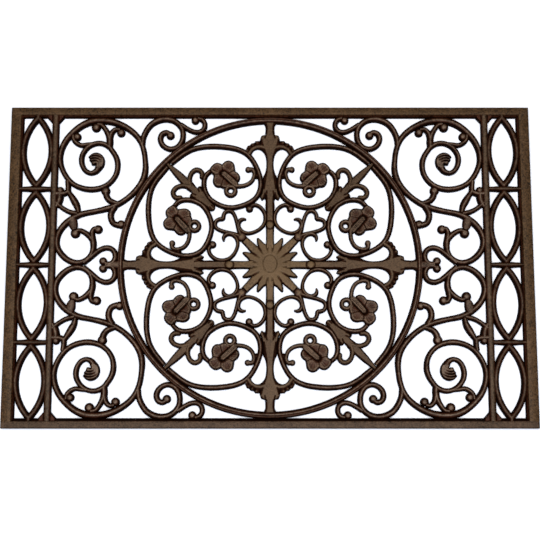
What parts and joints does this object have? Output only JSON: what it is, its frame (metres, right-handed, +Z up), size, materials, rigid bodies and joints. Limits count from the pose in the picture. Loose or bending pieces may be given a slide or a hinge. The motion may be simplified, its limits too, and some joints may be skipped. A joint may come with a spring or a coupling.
{
  "type": "door mat",
  "caption": "Openwork cast iron door mat: a rectangular frame with a round scrolled medallion, side panels of scrolls and borders of pointed ovals.",
  "frame": {"origin": "middle of the mat, on the plane that its four rails rest on", "axes": "+X along the long side, +Y across the mat towards the edge that is far from the camera, +Z up out of the tread face"},
  "size_m": [0.74, 0.457, 0.01],
  "materials": {
    "cast_iron": "satin brown-black cast iron with a fine sand-cast grain, a little lighter where feet rub it"
  },
  "bodies": {
    "root": {"corner_scroll_bottom_left": "cast_iron", "corner_scroll_bottom_right": "cast_iron", "corner_scroll_top_left": "cast_iron", "corner_scroll_top_right": "cast_iron", "diagonal_arm_bottom_left": "cast_iron", "diagonal_arm_bottom_right": "cast_iron", "diagonal_arm_top_left": "cast_iron", "diagonal_arm_top_right": "cast_iron", "flower_bottom_left_1": "cast_iron", "flower_bottom_left_2": "cast_iron", "flower_bottom_right_1": "cast_iron", "flower_bottom_right_2": "cast_iron", "flower_scroll_bottom_left_1": "cast_iron", "flower_scroll_bottom_left_2": "cast_iron", "flower_scroll_bottom_right_1": "cast_iron", "flower_scroll_bottom_right_2": "cast_iron", "flower_scroll_top_left_1": "cast_iron", "flower_scroll_top_left_2": "cast_iron", "flower_scroll_top_right_1": "cast_iron", "flower_scroll_top_right_2": "cast_iron", "flower_top_left_1": "cast_iron", "flower_top_left_2": "cast_iron", "flower_top_right_1": "cast_iron", "flower_top_right_2": "cast_iron", "heart_bottom_left": "cast_iron", "heart_bottom_right": "cast_iron", "heart_top_left": "cast_iron", "heart_top_right": "cast_iron", "leaf_arm_bottom": "cast_iron", "leaf_arm_left": "cast_iron", "leaf_arm_right": "cast_iron", "leaf_arm_top": "cast_iron", "lens_bar_left_1": "cast_iron", "lens_bar_left_2": "cast_iron", "lens_bar_left_3": "cast_iron", "lens_bar_right_1": "cast_iron", "lens_bar_right_2": "cast_iron", "lens_bar_right_3": "cast_iron", "lens_left_1": "cast_iron", "lens_left_2": "cast_iron", "lens_left_3": "cast_iron", "lens_left_4": "cast_iron", "lens_right_1": "cast_iron", "lens_right_2": "cast_iron", "lens_right_3": "cast_iron", "lens_right_4": "cast_iron", "mullion_left": "cast_iron", "mullion_right": "cast_iron", "rail_bottom": "cast_iron", "rail_left": "cast_iron", "rail_right": "cast_iron", "rail_top": "cast_iron", "ring": "cast_iron", "rosette": "cast_iron", "side_crest_left": "cast_iron", "side_crest_right": "cast_iron", "side_scroll_bottom_left": "cast_iron", "side_scroll_bottom_right": "cast_iron", "side_scroll_top_left": "cast_iron", "side_scroll_top_right": "cast_iron"}
  },
  "joints": []
}
